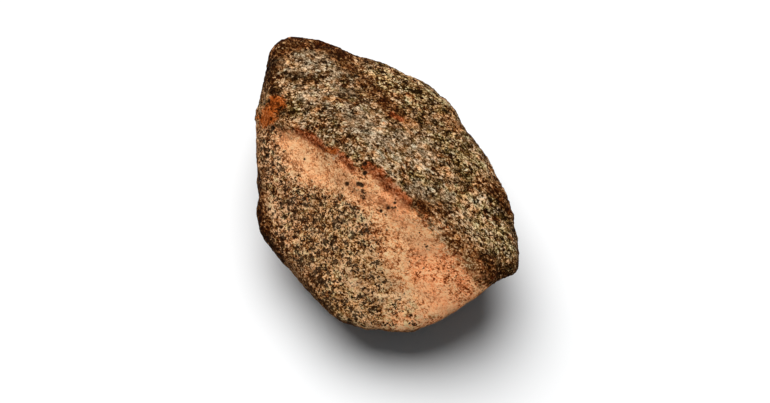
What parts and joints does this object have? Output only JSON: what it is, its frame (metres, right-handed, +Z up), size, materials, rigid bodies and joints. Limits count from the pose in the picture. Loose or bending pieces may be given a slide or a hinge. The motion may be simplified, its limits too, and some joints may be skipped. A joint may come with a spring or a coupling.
{
  "type": "meteorite",
  "caption": "Palm-sized stony meteorite: a blunt-edged stone with a crest between a smooth face and a rough face, lying on a flat.",
  "frame": {"origin": "on the surface that the stone lies on, below the middle of its outline", "axes": "+Z up, +Y along its longer side towards the narrow end, +X across it; the smooth face looks to -X and -Y"},
  "size_m": [0.0792, 0.0942, 0.0507],
  "materials": {
    "stone": "dull weathered stone: salmon to tan with dark specks on the smooth face, coarse brown and cream grains on the rough face, rust along the crest"
  },
  "bodies": {
    "root": {"stone": "stone"}
  },
  "joints": []
}
